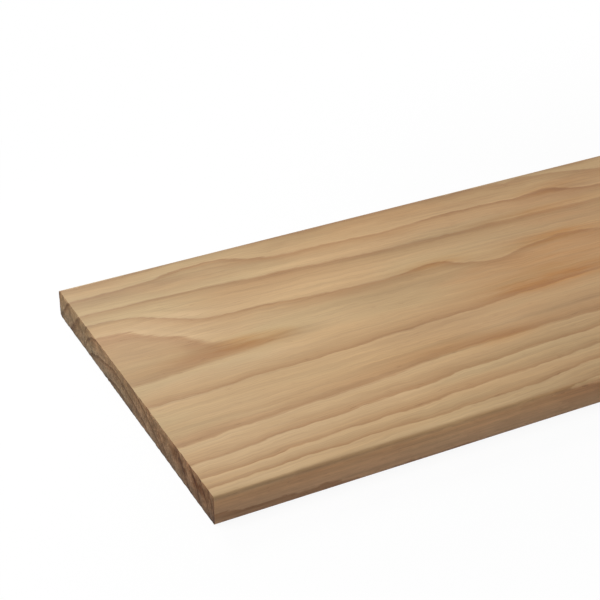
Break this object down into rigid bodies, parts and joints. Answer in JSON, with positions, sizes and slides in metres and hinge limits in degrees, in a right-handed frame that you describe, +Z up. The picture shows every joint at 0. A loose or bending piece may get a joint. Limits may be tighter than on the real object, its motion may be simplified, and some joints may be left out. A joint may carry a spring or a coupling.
{
  "type": "timber lumber plank",
  "caption": "Flat-sawn softwood board with eased long edges and square-cut ends, for shelving, trim and general joinery.",
  "frame": {"origin": "middle of the face that the board lies on", "axes": "+X along the grain, away from the end seen in the picture; +Y across the face; +Z up through the thickness"},
  "size_m": [1.2192, 0.235, 0.0191],
  "materials": {
    "pine": "planed, unfinished"
  },
  "bodies": {
    "root": {"plank": "pine"}
  },
  "joints": []
}
